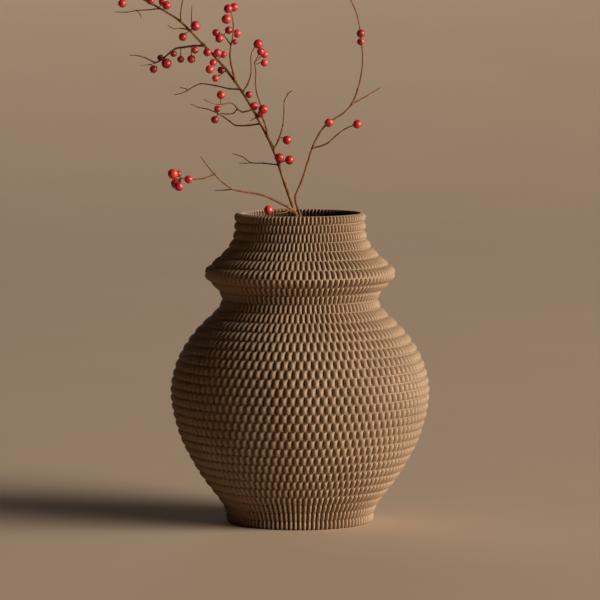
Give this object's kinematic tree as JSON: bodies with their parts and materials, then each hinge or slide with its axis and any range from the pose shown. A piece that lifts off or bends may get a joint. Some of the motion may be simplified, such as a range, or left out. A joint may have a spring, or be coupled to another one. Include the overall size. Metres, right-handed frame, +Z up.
{
  "type": "vase with berry branches",
  "caption": "Round-bellied vase with a beaded ribbed wall, a flaring collar below a narrow mouth, holding leafless branches of small round berries.",
  "frame": {"origin": "centre of the vase's flat underside", "axes": "+Z up along the vase's axis; -Y is the front; the taller branch leans to -X"},
  "size_m": [0.2952, 0.2098, 0.4982],
  "materials": {
    "printed_plastic": "matte, printed in fine layers",
    "bark": "dull bark",
    "berry_skin": "glossy"
  },
  "bodies": {
    "vase": {"vase_foot": "printed_plastic", "vase_lower_belly": "printed_plastic", "vase_upper_belly": "printed_plastic", "vase_shoulder": "printed_plastic", "vase_collar": "printed_plastic", "vase_neck": "printed_plastic"},
    "main_branch": {"main_stem": "bark", "left_sprig": "bark", "left_sprig_fork": "bark", "left_sprig_spur": "bark", "low_twig": "bark", "low_twig_fork": "bark", "lower_left_twig": "bark", "lower_left_twig_fork": "bark", "lower_right_twig": "bark", "middle_left_twig": "bark", "middle_left_stub": "bark", "winding_twig": "bark", "winding_twig_fork": "bark", "upper_left_twig": "bark", "upper_left_twig_fork": "bark", "right_inner_twig": "bark", "right_outer_twig": "bark", "tall_twig": "bark", "tall_twig_fork": "bark", "arched_twig": "bark", "arched_twig_fork": "bark", "hooked_twig": "bark", "upright_twig": "bark", "top_twig": "bark", "far_left_twig": "bark", "far_left_twig_fork": "bark", "crown_left_twig": "bark", "crown_right_twig": "bark", "left_sprig_berries": "berry_skin", "low_berry": "berry_skin", "lower_stem_berries": "berry_skin", "lower_right_berry": "berry_skin", "middle_stem_berries": "berry_skin", "right_outer_low_berry": "berry_skin", "middle_left_berries": "berry_skin", "winding_twig_berry": "berry_skin", "right_inner_berry": "berry_skin", "right_outer_berries": "berry_skin", "tall_twig_berries": "berry_skin", "tall_fork_berries": "berry_skin", "cluster_berries": "berry_skin", "arched_twig_berries": "berry_skin", "arched_fork_berry": "berry_skin", "upper_stem_berries": "berry_skin", "crown_berries": "berry_skin", "crown_left_berries": "berry_skin"},
    "right_branch": {"right_stem": "bark", "right_upper_twig": "bark", "right_lower_twig": "bark", "right_low_berry": "berry_skin", "right_twig_berry": "berry_skin", "right_high_berries": "berry_skin"}
  },
  "joints": [
    {"name": "main_branch_lift", "type": "slide", "parent": "vase", "child": "main_branch", "axis": [-0.3256, 0, 0.9455], "range_m": [0, 0.235]},
    {"name": "right_branch_lift", "type": "slide", "parent": "vase", "child": "right_branch", "axis": [-0.3256, 0, 0.9455], "range_m": [0, 0.23]}
  ]
}
